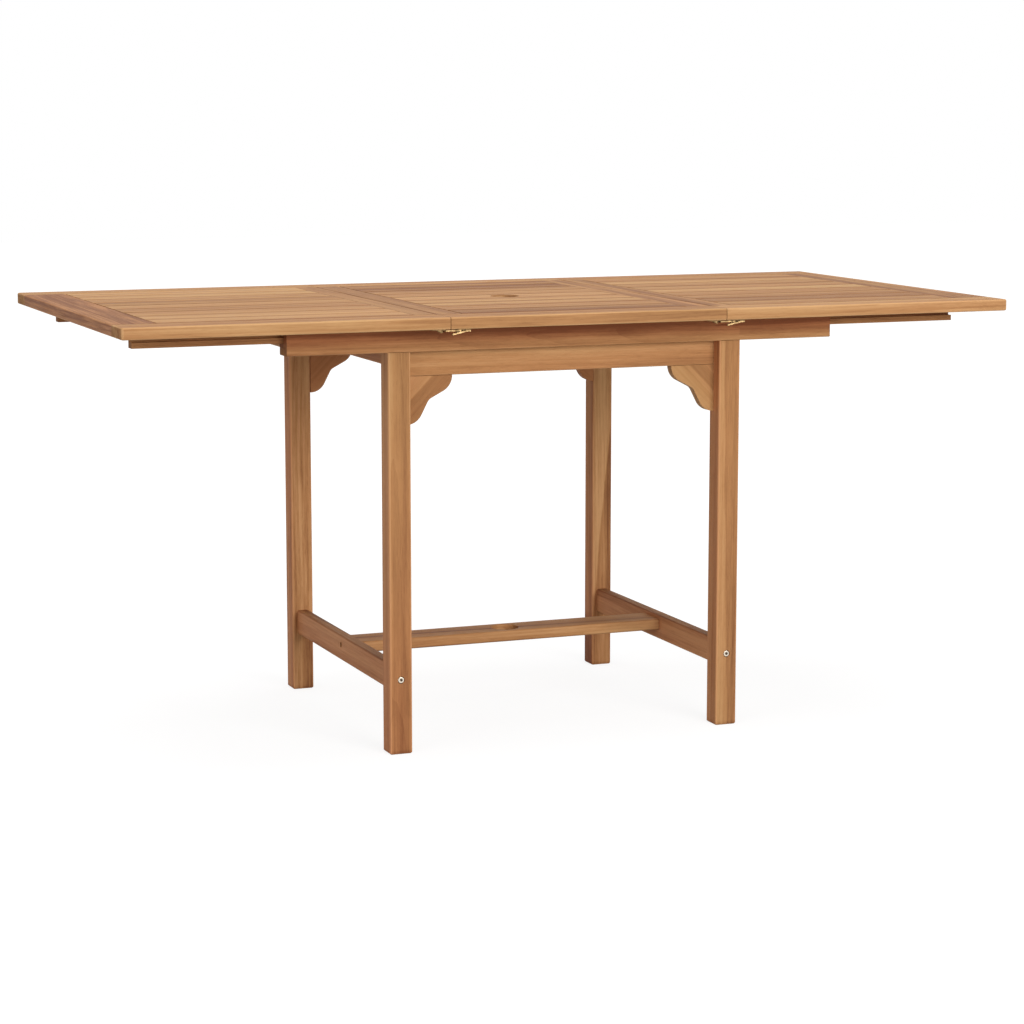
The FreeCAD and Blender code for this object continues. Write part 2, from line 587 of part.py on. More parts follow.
def make_leg_fasteners():
    bolts, nuts = [], []
    for side, sx in SIDES:
        for face, sy in FACES:
            x = f"{sx} * {LEG_X}"
            seat_y = f"{sy} * (leg_frame_width / 2 - leg_bolt_recess)"
            nut_y = f"{sy} * ({BETWEEN_LEGS_Y} - nut_setback)"
            bolts.append(make_bolt(f"{face}_{side}_leg_bolt", "leg_bolt_head_diameter",
                                   "leg_size - leg_bolt_recess + bolt_grip",
                                   (x, seat_y, LEG_BOLT_Z), NORTH * sy))
            nuts.append(make_nut(f"{face}_{side}_leg_nut", (x, nut_y, LEG_BOLT_Z), NORTH))
    keep_group("leg_bolts", bolts)
    keep_group("leg_barrel_nuts", nuts)


def make_cross_fasteners():
    bolts, nuts = [], []
    for side, sx in SIDES:
        seat_x = f"{sx} * ({LEG_X} + side_stretcher_thickness / 2 - cross_bolt_recess)"
        nut_x = f"{sx} * ({LEG_X} - side_stretcher_thickness / 2 - nut_setback)"
        length = "side_stretcher_thickness - cross_bolt_recess + bolt_grip"
        bolts.append(make_bolt(f"{side}_cross_bolt", "cross_bolt_head_diameter", length,
                               (seat_x, "0", CROSS_BOLT_Z), EAST * sx))
        nuts.append(make_nut(f"{side}_cross_nut", (nut_x, "0", CROSS_BOLT_Z), EAST))
    keep_group("cross_bolts", bolts)
    keep_group("cross_barrel_nuts", nuts)


# Countersunk screws, driven upwards, and their holes

def make_screw(name, kind, length, at):
    screw = new_body(name, *at)
    shank, sink = f"{kind}_diameter / 2", f"{kind}_head_height"
    cone(screw, "Additive", "head", f"{kind}_head_diameter / 2", shank, sink, ("0", "0", "0"))
    rod(screw, "Additive", "shank", shank, f"{length} - {sink}", ("0", "0", sink))
    return screw


def cut_screw_hole(body, kind, x, y, z, depth):
    """A screw's hole upwards from z."""
    rod(body, "Subtractive", "screw_hole", f"{kind}_diameter / 2 + thread_clearance", depth, (x, y, z))


def cut_screw_seat(body, kind, x, y, z):
    """The countersink for a screw's head."""
    cone(body, "Subtractive", "screw_seat", f"{kind}_head_diameter / 2 + thread_clearance",
         f"{kind}_diameter / 2 + thread_clearance", f"{kind}_head_height", (x, y, z))


# Catches. Each seam has one at the front and one at the rear, and all are of one hand: seen from
# the nearest edge, the pivot is to the right of the seam and the stud to the left. So the levers
# of the end leaves also hook onto each other's studs when the centre leaf is out.

def post_place(sx, sy, away):
    """Where the pivot or stud stands that is on the given side of a seam."""
    setback = "pivot_setback" if away == -sy else "stud_setback"
    return f"({sx} * insert_length / 2 + {away} * {setback})", f"({sy} * (table_width / 2 - catch_inset))"


def plate_screws(sx, sy, away):
    """Two screws side by side near the end of a plate that is farther from the seam."""
    x, y = post_place(sx, sy, away)
    reach = "(plate_length - plate_overlap - plate_screw_setback)"
    return [(f"{x} + {away} * {reach}", f"{y} + {s} * plate_screw_spacing / 2") for s in (-1, 1)]


def make_plate(name, sx, sy, away):
    """A plate under a side rail, with a headed pivot or a plain stud."""
    x, y = post_place(sx, sy, away)
    plate = new_body(name, x, y, UNDERSIDE)
    block(plate, "Additive", "plate", flip(away, ("-plate_overlap", "plate_length - plate_overlap")),
          centred("plate_width"), ("-plate_thickness", "0"))
    ease(plate, UP, "plate_corner_radius")
    if away == -sy:
        post = "(lever_thickness + 2 * lever_play)"
        rod(plate, "Additive", "pivot", "pivot_diameter / 2", post, ("0", "0", f"-plate_thickness - {post}"))
        rod(plate, "Additive", "pivot_head", "pivot_head_diameter / 2", "pivot_head_thickness",
            ("0", "0", f"-plate_thickness - {post} - pivot_head_thickness"))
    else:
        drop = "(lever_play + lever_thickness + stud_overhang)"
        rod(plate, "Additive", "stud", "stud_diameter / 2", drop, ("0", "0", f"-plate_thickness - {drop}"))
    for screw_x, screw_y in plate_screws(sx, sy, away):
        local = (f"{screw_x} - {x}", f"{screw_y} - {y}", "-plate_thickness")
        cut_screw_seat(plate, "plate_screw", *local)
        cut_screw_hole(plate, "plate_screw", *local, "plate_thickness + cut_margin")
    return plate


def make_plate_screws(name, screws):
    return [make_screw(f"{name}_{index}", "plate_screw", "plate_thickness + plate_screw_bite",
                       (x, y, f"{UNDERSIDE} - plate_thickness"))
            for index, (x, y) in enumerate(screws, start=1)]


def make_lever(name, sx, sy):
    """A flat hook on its pivot, with a finger tab bent down along its outer side."""
    x, y = post_place(sx, sy, -sy)
    lever = new_body(name, x, y, LEVER_Z, FreeCAD.Rotation(UP, HALF_TURN if sy < 0 else 0))
    low, high = centred("lever_thickness")
    rod(lever, "Additive", "hub", "lever_hub_radius", "lever_thickness", ("0", "0", low))
    inner_side, side = centred("lever_arm_width")
    block(lever, "Additive", "arm", ("-lever_tail_length", CATCH_REACH), (inner_side, side), (low, high))
    rod(lever, "Additive", "hook", "lever_hook_radius", "lever_thickness", (CATCH_REACH, "0", low))
    bend = "(lever_ear_length - lever_tail_length)"
    block(lever, "Additive", "ear", ("-lever_tail_length", bend),
          (inner_side, "tab_offset + tab_width / 2"), (low, high))
    add_finger_tab(lever, bend)
    through, below = "lever_thickness + 2 * cut_margin", f"{low} - cut_margin"
    stud_gap = "(stud_diameter / 2 + stud_clearance)"
    pivot_gap = "pivot_diameter / 2 + pivot_clearance"
    rod(lever, "Subtractive", "pivot_hole", pivot_gap, through, ("0", "0", below))
    rod(lever, "Subtractive", "stud_seat", stud_gap, through, (CATCH_REACH, "0", below))
    cut_mouth(lever, *around(CATCH_REACH, stud_gap))
    keep(lever)


def add_finger_tab(lever, bend):
    """A strip that slopes down from the lever's ear towards the seam."""
    low, high = centred("lever_thickness")
    tip = f"{bend} + tab_length"
    corners = [(bend, low), (tip, f"{low} - tab_drop"), (tip, f"{high} - tab_drop"), (bend, high)]
    section = outline(lever, "tab_section", "XZ_Plane", corners)
    section.setExpression("AttachmentOffset.Base.z", tied("-tab_offset"))
    pad(lever, "finger_tab", section, "tab_width")


def cut_mouth(lever, near, far):
    """The hook's mouth, swept round the pivot so that it clears the stud as the lever swings."""
    low, high = centred("lever_thickness + 2 * cut_margin")
    corners = [(near, low), (far, low), (far, high), (near, high)]
    section = outline(lever, "mouth_section", "XZ_Plane", corners)
    mouth = lever.newObject("PartDesign::Groove", "mouth")
    mouth.Profile = section
    mouth.ReferenceAxis = (section, ["V_Axis"])
    mouth.setExpression("Angle", tied("hook_mouth_angle"))


# Leaves of the top

def make_side_rail(name, sy, edges, boards, screws, corner_side=0):
    """A board along the front or rear edge of a leaf, mortised for its cross boards. The end that
    is a corner of the table, to the side that corner_side names, is rounded."""
    left, right = edges
    middle, half = f"(({left} + {right}) / 2)", f"(({right} - ({left})) / 2)"
    rail = new_body(name, middle, f"{sy} * {SIDE_RAIL_Y}", UNDERSIDE)
    block(rail, "Additive", "board", (f"-{half}", half), centred("side_rail_width"), ("0", "leaf_thickness"))
    if corner_side:
        ease(rail, UP, "table_corner_radius",
             lambda edge: corner_side * edge.CenterOfMass.x > 0 and sy * edge.CenterOfMass.y > 0)
    ease(rail, EAST, "board_edge_radius")
    inner_face = "side_rail_width / 2"
    for board_x, board_width in boards:
        tenon_half = f"{board_width} / 2 - leaf_tenon_shoulder + joint_clearance"
        block(rail, "Subtractive", "mortise", around(f"{board_x} - {middle}", tenon_half),
              flip(-sy, (f"{inner_face} - leaf_tenon_length - tenon_end_gap", f"{inner_face} + cut_margin")),
              around("leaf_thickness / 2", "leaf_tenon_thickness / 2 + joint_clearance"))
    for x, y in screws:
        cut_screw_hole(rail, "plate_screw", f"{x} - {middle}", f"{y} - {sy} * {SIDE_RAIL_Y}", "0",
                       "plate_screw_bite")
    keep(rail)


def make_cross_board(name, board_x, board_width, slat_side, screws=()):
    """A board across a leaf, tenoned into the side rails and grooved for the slats."""
    board = new_body(name, board_x, "0", UNDERSIDE)
    across = (f"-{BETWEEN_RAILS}", BETWEEN_RAILS)
    block(board, "Additive", "board", centred(board_width), across, ("0", "leaf_thickness"))
    ease(board, NORTH, "board_edge_radius")
    block(board, "Additive", "tenons", centred(f"{board_width} - 2 * leaf_tenon_shoulder"),
          (f"-{BETWEEN_RAILS} - leaf_tenon_length", f"{BETWEEN_RAILS} + leaf_tenon_length"),
          around("leaf_thickness / 2", "leaf_tenon_thickness / 2"))
    face = f"{board_width} / 2"
    block(board, "Subtractive", "groove",
          flip(slat_side, (f"{face} - tongue_length - tenon_end_gap", f"{face} + cut_margin")), across,
          around("leaf_thickness / 2", "tongue_thickness / 2 + joint_clearance"))
    for x, y in screws:
        cut_screw_hole(board, "runner_screw", f"{x} - {board_x}", y, "0", "runner_screw_bite")
    keep(board)


def make_slats(name, span, meets_parasol=False):
    """Slats with a tongue at each end, side by side between two cross boards."""
    left, right = span
    middle, half = f"(({left} + {right}) / 2)", f"(({right} - ({left})) / 2)"
    slats = []
    for index in range(int(number("slat_count"))):
        y = f"({index} - (slat_count - 1) / 2) * ({SLAT_WIDTH} + slat_gap)"
        slat = new_body(f"{name}_{index + 1}", middle, y, UNDERSIDE)
        block(slat, "Additive", "board", (f"-{half}", half), centred(SLAT_WIDTH), ("0", "leaf_thickness"))
        ease(slat, EAST, "board_edge_radius")
        block(slat, "Additive", "tongues", (f"-{half} - tongue_length", f"{half} + tongue_length"),
              centred(f"{SLAT_WIDTH} - 2 * tongue_shoulder"),
              around("leaf_thickness / 2", "tongue_thickness / 2"))
        if meets_parasol and abs(number(y)) < number(f"({SLAT_WIDTH} + parasol_diameter) / 2"):
            cut_parasol_hole(slat, "leaf_thickness", f"-({y})")
        slats.append(slat)
    keep_group(name, slats)


# Runners, screwed under the end leaves, whose tongues run in the beams' grooves

def runner_screws(sx, sy):
    """A screw near a runner's outer end and one near its inner end."""
    y = f"{sy} * {RUNNER_SCREW_Y}"
    outer = f"{sx} * (table_length / 2 - runner_end_inset - runner_screw_setback)"
    inner = f"{sx} * ({SEAM_EDGE} + runner_seam_inset + runner_screw_setback)"
    return (outer, y), (inner, y)


def make_runner(name, sx, sy):
    near, far = f"({SEAM_EDGE} + runner_seam_inset)", "(table_length / 2 - runner_end_inset)"
    at = (f"{sx} * ({near} + {far}) / 2", f"{sy} * {BEAM_Y}", RUNNER_Z)
    runner = new_body(name, *at)
    inner_face = "-beam_width / 2"
    back = f"{inner_face} + slide_clearance"
    web = f"{inner_face} + rebate_width - slide_clearance"
    tongue = f"{inner_face} + rebate_width + slide_groove_depth - slide_clearance"
    tongue_top = "slide_groove_height - 2 * slide_clearance"
    corners = [
        (back, "0"), (tongue, "0"), (tongue, tongue_top), (web, tongue_top),
        (web, RUNNER_HEIGHT), (back, RUNNER_HEIGHT),
    ]
    section = outline(runner, "section", "YZ_Plane", [(f"{sy} * ({y})", z) for y, z in corners])
    pad(runner, "strip", section, f"{far} - {near}")
    for x, y in runner_screws(sx, sy):
        local = (f"{x} - {at[0]}", f"{y} - {at[1]}", "0")
        cut_screw_seat(runner, "runner_screw", *local)
        cut_screw_hole(runner, "runner_screw", *local, f"{RUNNER_HEIGHT} + cut_margin")
    keep(runner)


def make_runner_screws(name, screws):
    length = f"{RUNNER_HEIGHT} + runner_screw_bite"
    return [make_screw(f"{name}_{end}", "runner_screw", length, (x, y, RUNNER_Z))
            for end, (x, y) in zip(("outer", "inner"), screws)]


def make_end_leaf(side, sx):
    end_board = (f"{sx} * (table_length - end_board_width) / 2", "end_board_width")
    seam_board = (f"{sx} * ({SEAM_EDGE} + seam_board_width / 2)", "seam_board_width")
    edges = flip(sx, (SEAM_EDGE, "table_length / 2"))
    slat_span = flip(sx, (f"({SEAM_EDGE} + seam_board_width)", "(table_length / 2 - end_board_width)"))
    for face, sy in FACES:
        make_side_rail(f"{side}_leaf_{face}_rail", sy, edges, (end_board, seam_board),
                       plate_screws(sx, sy, sx), sx)
    outer_screws, inner_screws = zip(*(runner_screws(sx, sy) for _, sy in FACES))
    make_cross_board(f"{side}_leaf_end_board", *end_board, -sx, outer_screws)
    make_cross_board(f"{side}_leaf_seam_board", *seam_board, sx, inner_screws)
    make_slats(f"{side}_leaf_slats", slat_span)
    strip_screws, plates, screws = [], [], []
    for face, sy in FACES:
        make_runner(f"{side}_{face}_runner", sx, sy)
        strip_screws += make_runner_screws(f"{side}_{face}_runner_screw", runner_screws(sx, sy))
        plates.append(make_plate(f"{side}_{face}_plate", sx, sy, sx))
        screws += make_plate_screws(f"{side}_{face}_plate_screw", plate_screws(sx, sy, sx))
        make_lever(f"{side}_{face}_catch_lever", sx, sy)
    keep_group(f"{side}_runner_screws", strip_screws)
    keep_group(f"{side}_catch_plates", plates)
    keep_group(f"{side}_catch_screws", screws)


def make_centre_leaf():
    board_x = f"({INSERT_EDGE} - insert_board_width / 2)"
    boards = [(f"{sx} * {board_x}", "insert_board_width") for _, sx in SIDES]
    for face, sy in FACES:
        rail_screws = [screw for _, sx in SIDES for screw in plate_screws(sx, sy, -sx)]
        make_side_rail(f"centre_leaf_{face}_rail", sy, (f"-{INSERT_EDGE}", INSERT_EDGE), boards, rail_screws)
    plates = {"catch": [], "stud": []}
    screws = {"catch": [], "stud": []}
    for (side, sx), board in zip(SIDES, boards):
        make_cross_board(f"centre_leaf_{side}_board", *board, -sx)
        for face, sy in FACES:
            kind = "catch" if sx == sy else "stud"
            plates[kind].append(make_plate(f"centre_{side}_{face}_plate", sx, sy, -sx))
            screws[kind] += make_plate_screws(f"centre_{side}_{face}_plate_screw", plate_screws(sx, sy, -sx))
    inner = f"({INSERT_EDGE} - insert_board_width)"
    make_slats("centre_leaf_slats", (f"-{inner}", inner), meets_parasol=True)
    for kind in plates:
        keep_group(f"centre_{kind}_plates", plates[kind])
        keep_group(f"centre_{kind}_screws", screws[kind])


for side, sx in SIDES:
    make_short_apron(f"{side}_short_apron", sx)
    make_end_rail(f"{side}_end_rail", sx)
    make_side_stretcher(f"{side}_stretcher", sx)
    for face, sy in FACES:
        make_leg(f"{face}_{side}_leg", sx, sy)
        make_bracket(f"{face}_{side}_bracket", sx, sy)
for face, sy in FACES:
    make_beam(f"{face}_slide_beam", sy)
    make_long_apron(f"{face}_long_apron", sy)
make_centre_stretcher("centre_stretcher")
make_leg_fasteners()
make_cross_fasteners()
for side, sx in SIDES:
    make_end_leaf(side, sx)
make_centre_leaf()
doc.recompute()

# Nothing is written unless every feature and every piece came out whole
failed = [thing.Label for thing in doc.Objects if {"Invalid", "Error"} & set(thing.State)]
failed += [node.Label for node in nodes if node.Shape.isNull() or not node.Shape.isValid()]
if failed:
    raise RuntimeError("failed: " + ", ".join(failed))
os.makedirs("parts", exist_ok=True)
for node in nodes:
    node.Shape.exportStep(f"parts/{node.Label}.step")
    print(f"{node.Label}: {len(node.Shape.Solids)} solids, {node.Shape.Volume / 1000:.1f} cm3")
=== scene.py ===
"""Looks of the extending garden table: oiled teak boards, brass catches and plated steel fasteners."""

import json
import math
import random

import bpy
from mathutils import Euler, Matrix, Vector


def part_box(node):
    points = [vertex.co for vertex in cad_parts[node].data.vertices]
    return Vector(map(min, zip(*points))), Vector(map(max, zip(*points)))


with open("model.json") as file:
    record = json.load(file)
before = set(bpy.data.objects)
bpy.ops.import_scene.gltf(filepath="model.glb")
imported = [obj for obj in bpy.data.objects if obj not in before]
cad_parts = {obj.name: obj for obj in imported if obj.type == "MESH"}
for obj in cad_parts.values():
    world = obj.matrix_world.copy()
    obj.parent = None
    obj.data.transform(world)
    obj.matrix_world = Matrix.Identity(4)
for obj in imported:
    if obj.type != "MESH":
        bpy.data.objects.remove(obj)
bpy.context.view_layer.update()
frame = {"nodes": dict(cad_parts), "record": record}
NODES = frame["nodes"]
SEED = 11

# The photograph's camera, in the table's own frame (metres and degrees)
PICTURE_SIDE = 1024
FOCAL_PIXELS = 2807
SENSOR_WIDTH = 36.0
CAMERA_PLACE = (-1.834, -4.703, 1.133)
CAMERA_YAW = 21.455
CAMERA_DIP = 8.742

# Teak colours, linear
TEAK_PALE = (0.640, 0.350, 0.166)
TEAK_MIDDLE = (0.465, 0.222, 0.094)
TEAK_DARK = (0.242, 0.100, 0.043)

# How much darker or, below zero, paler than plain teak a piece is, on a scale from -1 (pale) to 1 (dark):
# the shares of all the endings that fit its name, added up
PIECE_TONES = {
    "_end_board": 0.32, "_seam_board": 0.32, "_left_board": 0.32, "_right_board": 0.32,
    "left_leaf_end_board": 0.66, "right_leaf_end_board": 0.55,
    "left_leaf_slats": -0.28, "centre_leaf_slats": 0.25,
    "right_leaf_front_rail": -0.20, "centre_leaf_front_rail": 0.42, "left_leaf_front_rail": 0.16,
    # The runners' share is partly painted shade from the top above them
    "_long_apron": -0.10, "_runner": 0.36, "_stretcher": -0.05, "right_stretcher": -0.31,
    "front_right_leg": 0.06, "front_left_leg": 0.10, "rear_left_leg": -0.22, "rear_right_leg": -0.20,
    "_bracket": -0.08, "front_left_bracket": 0.10, "_short_apron": 0.30,
}
# How much redder or, below zero, yellower a piece is, added up in the same way
PIECE_REDS = {
    "_slide_beam": 0.01, "left_leaf_end_board": 0.40, "_leaf_slats": -0.25, "_board": -0.25, "_rail": -0.15,
    "_bracket": 0.55, "front_right_bracket": -1.0, "front_left_bracket": -0.60, "_short_apron": 0.55,
    "rear_left_leg": 0.10,
}
# How much darker, and how much redder, a piece gets along its grain, per metre
PIECE_SLOPES = {
    "front_left_leg": (-0.55, -1.2), "rear_left_leg": (-0.20, -0.2), "rear_right_leg": (-0.30, -0.6),
    "right_stretcher": (0.90, 0.0),
}
# Painted shade and, below zero, painted light: how much darker, and how much redder, than the rest a piece is
# on its faces towards the ends of the table
PIECE_FLANK_SHADING = {"_end_board": (0.92, 0.25), "rear_right_leg": (0.85, 0.0), "front_left_leg": (-0.68, -0.20)}
# How much redder the legs and the side stretchers are on those faces, a painted red of their shade
FLANK_SHADE_RED = 0.70
# How much darker than the rest a piece is on its upward face, with painted shade from the top above it
PIECE_TOP_SHADES = {"left_stretcher": 0.70, "right_stretcher": 0.60}
# Pieces sawn across the heartwood's border: where it lies across the grain (m), how steeply it slants,
# how far it wanders (m) and the step in tone
HEART_BORDERS = {
    "front_left_bracket": (0.025, 0.0, 0.0005, -0.75), "rear_left_bracket": (0.010, 0.0, 0.0005, 0.25),
    "front_right_bracket": (0.025, 0.0, 0.0005, 0.45), "rear_right_bracket": (0.015, 0.0, 0.0005, -0.25),
    "front_right_leg": (0.005, -0.017, 0.004, -0.62), "front_left_leg": (0.013, 0.0, 0.003, -0.35),
    "rear_right_leg": (-0.005, 0.095, 0.003, -0.95), "right_stretcher": (0.0105, 0.0, 0.0015, 0.70),
}
# Half the width of a border (m), its waves per metre of grain and the reach of the noise that makes them
BORDER_BLUR = 0.0015
BORDER_WAVES = 4.0
BORDER_NOISE = (0.25, 0.75)
# How much the tones of boards, and of the slats of a leaf, differ among themselves
BOARD_SPREAD = 0.16
SLAT_SPREADS = {"left_leaf_slats": 0.60, "centre_leaf_slats": 0.75, "right_leaf_slats": 0.45}

# How strong the figure of the grain is: the first ending that fits counts, here and for edges' wear and
# painted shading
FIGURES = {
    "_bracket": 0.40, "rear_left_leg": 1.50, "rear_right_leg": 1.25, "_leg": 0.85, "_long_apron": 0.80,
    "left_leaf_end_board": 2.00, "_end_board": 1.35,
}
PLAIN_FIGURE = 1.0
# How far the edges are made paler by wear and a painted highlight or, below zero, darker by painted shade
# in the gaps beside them
EDGE_WEAR_AND_SHADING = {
    "_leg": 3.0, "_front_rail": 2.6, "_slats": -4.0, "_end_board": 2.4, "_board": -1.8, "_long_apron": 1.6,
    "_stretcher": -1.2, "_bracket": -1.4,
}
PLAIN_WEAR_AND_HIGHLIGHT = 1.0
# How squarely a rounded edge faces one way (a cosine) where its wear and painted shading are full and where
# they have gone
EDGE_ROUNDING = (0.90, 0.995)
# How squarely a face looks along the grain (a cosine) where end grain begins and where it is full
END_GRAIN = (0.80, 0.96)

# How much paler a painted highlight makes an end board along its outer brim, and from how far in (m)
BRIM_HIGHLIGHT = 0.70
BRIM_HIGHLIGHT_WIDTH = 0.026
# How much darker a leg is at its very foot, and up to what height (m)
FOOT_DARKENING = 0.7
FOOT_DARKENING_HEIGHT = 0.008
# How much darker the fronts and backs of the rear feet are where the grain runs out, and how much more so
# at their right edges, and the heights that this fades between (m)
FOOT_STREAKS = {"rear_left_leg": (0.35, 1.35), "rear_right_leg": (-0.45, -0.55)}
FOOT_FADE = (0.09, 0.13)
# In the shade of the top, slide beams are darker and redder, fading between two depths below their brims (m),
# and the flanks of the legs are darker, fading down from their tops (m)
BEAM_SHADE = 0.70
BEAM_SHADE_DEPTHS = (0.040, 0.017)
LEG_SHADE = 0.65
LEG_SHADE_DEPTH = 0.14

# The sheen of the oiled top, and of the drier wood under it and at its ends
TOP_SHEEN = 0.07
UNDER_SHEEN = 0.08
UNDER_TINT = (0.90, 0.68, 0.52, 1.0)

# Directions that a board's grain can run in, as turns that lay it along X
QUARTER = math.pi / 2
GRAIN_TURNS = {
    "length": (0.0, 0.0, 0.0),
    "width": (0.0, 0.0, -QUARTER),
    "height": (0.0, QUARTER, 0.0),
    "rising": (0.0, QUARTER / 2, 0.0),
    "falling": (0.0, -QUARTER / 2, 0.0),
}
# Slats in a leaf, and the gap between two of them (m)
SLAT_COUNT = 9
SLAT_GAP = 0.004

# Steps from board to board in the noise, and to a board's second set of random values
LOG_STEP = 7.31
SECOND_DRAW = 0.37
# The least and the most distance of a board's pith, and width of its growth rings (m)
PITH_DEPTH = (0.03, 0.15)
RING_WIDTH = (0.0045, 0.0085)
# How far the rings bend and ripple to either side (m), and how far the saw's cut slants to the grain
RING_BEND = 0.030
RING_RIPPLE = 0.0035
SAW_SLOPE = 0.035
# How sharply a ring darkens towards its late wood
LATE_SHARPNESS = 2.5

# Noise that the figure is made of: cells per metre along and across the grain, detail and roughness
LAYERS = {
    "bend": (0.9, 7.0, 1.0, 0.5),
    "ripple": (5.0, 34.0, 2.0, 0.5),
    "band": (0.6, 42.0, 1.0, 0.5),
    "mottle": (9.0, 75.0, 3.0, 0.55),
    "streak": (1.8, 150.0, 2.0, 0.5),
    "fibre": (9.0, 700.0, 3.0, 0.6),
    "vein": (0.45, 65.0, 2.0, 0.5),
    "pore": (70.0, 1700.0, 0.0, 0.5),
    "blush": (2.5, 28.0, 1.0, 0.5),
}
# The noise at which veins, pores and blushes of red begin and are full
VEIN_NOISE = (0.56, 0.72)
PORE_NOISE = (0.60, 0.72)
BLUSH_NOISE = (0.15, 0.85)
# What the figure adds to the tone: a plain start, late wood, streaks to either side, veins, pores and, to
# the pale side, each step of wear and painted highlight on an edge, a step below zero being painted shade
PLAIN_SHADE = -0.20
LATE_SHADE = 0.26
STREAK_SHADES = {"band": 1.9, "mottle": 1.0, "streak": 1.5, "fibre": 0.9}
VEIN_SHADE = 0.42
PORE_SHADE = 0.20
EDGE_SHADE = -0.30
# Tints that the colour is multiplied by: from cool to warm boards, for each step of red, and on end grain
COOL_TINT = (0.98, 1.025, 0.97)
WARM_TINT = (1.03, 0.975, 0.95)
WARMTH_SPREAD = 0.15
RED_STEP = (0.06, -0.16, -0.15)
END_TINT = (0.62, 0.58, 0.54)
END_SHARE = 0.55
WHITE = (1.0, 1.0, 1.0)
# The wood's roughness, what fibres and end grain add to it, and the relief of fibres, pores and late wood
WOOD_ROUGHNESS = 0.56
FIBRE_ROUGHNESS = 0.20
END_ROUGHNESS = 0.14
FIBRE_RELIEF = 0.6
PORE_RELIEF = 0.5
LATE_RELIEF = 0.25

# Depths of relief (m)
WOOD_BUMP = 0.00025
BRASS_BUMP = 0.00004
STEEL_BUMP = 0.00003

# Brass, bright and tarnished: the levers, which hands rub, and their plates, tarnished and darker still with
# painted shade
RUBBED_BRASS = ((0.44, 0.295, 0.14), (0.20, 0.125, 0.055))
DULL_SHADED_BRASS = ((0.23, 0.14, 0.06), (0.10, 0.06, 0.03))
# Tarnish and brush marks: which draw of the noise, its cells per metre, and where tarnish shows and roughens
TARNISH_DRAW = 3.0
TARNISH_CELLS = (160.0, 160.0, 160.0)
TARNISH_COLOURS = (0.38, 0.68)
TARNISH_ROUGHENS = (0.3, 0.75)
BRASS_ROUGHNESS = (0.32, 0.52)
BRUSH_DRAW = 5.0
BRUSH_CELLS = (120.0, 2400.0, 2400.0)

# Plated steel, bright and dull: the bolts and nuts, and the screws, darker with painted shade from the top
# above them
BOLT_STEEL = ((0.72, 0.64, 0.53), (0.54, 0.48, 0.39))
SHADED_SCREW_STEEL = ((0.38, 0.34, 0.28), (0.20, 0.18, 0.15))
# Clouds in the plating, named as for the brass
CLOUD_DRAW = 2.0
CLOUD_CELLS = (220.0, 220.0, 220.0)
CLOUD_COLOURS = (0.35, 0.7)
CLOUD_ROUGHENS = (0.3, 0.7)
STEEL_ROUGHNESS = (0.22, 0.38)
# Painted shade in the sockets of the bolts, and how far it reaches from their axes and blurs (m)
SOCKET_SHADE = (0.12, 0.09, 0.07)
SOCKET_RADIUS = 0.0023
SOCKET_BLUR = 0.0004

# The studio: the light of its surround, and its floor's paint as it lights the table and as it is seen
WORLD_LIGHT = 0.40
FLOOR_PAINT = (0.42, 0.42, 0.42)
FLOOR_SEEN = (0.24, 0.24, 0.24)
FLOOR_SIDE = 30.0
# The floor's glow near the table and far from it, and the distances that it changes between (m)
FLOOR_GLOW = (0.86, 1.0)
FLOOR_GLOW_RANGE = (1.0, 3.0)
# Lamps: place and aim, width and depth (m) and power (W)
LAMPS = {
    "key_lamp": ((1.0, -4.8, 1.75), (0.0, 0.0, 0.6), 2.6, 2.4, 152.0),
    "fill_lamp": ((-3.8, -2.4, 1.3), (0.0, 0.0, 0.5), 2.2, 2.2, 36.0),
    "top_lamp": ((0.0, 0.3, 3.6), (0.0, 0.0, 0.7), 3.4, 2.6, 54.0),
}


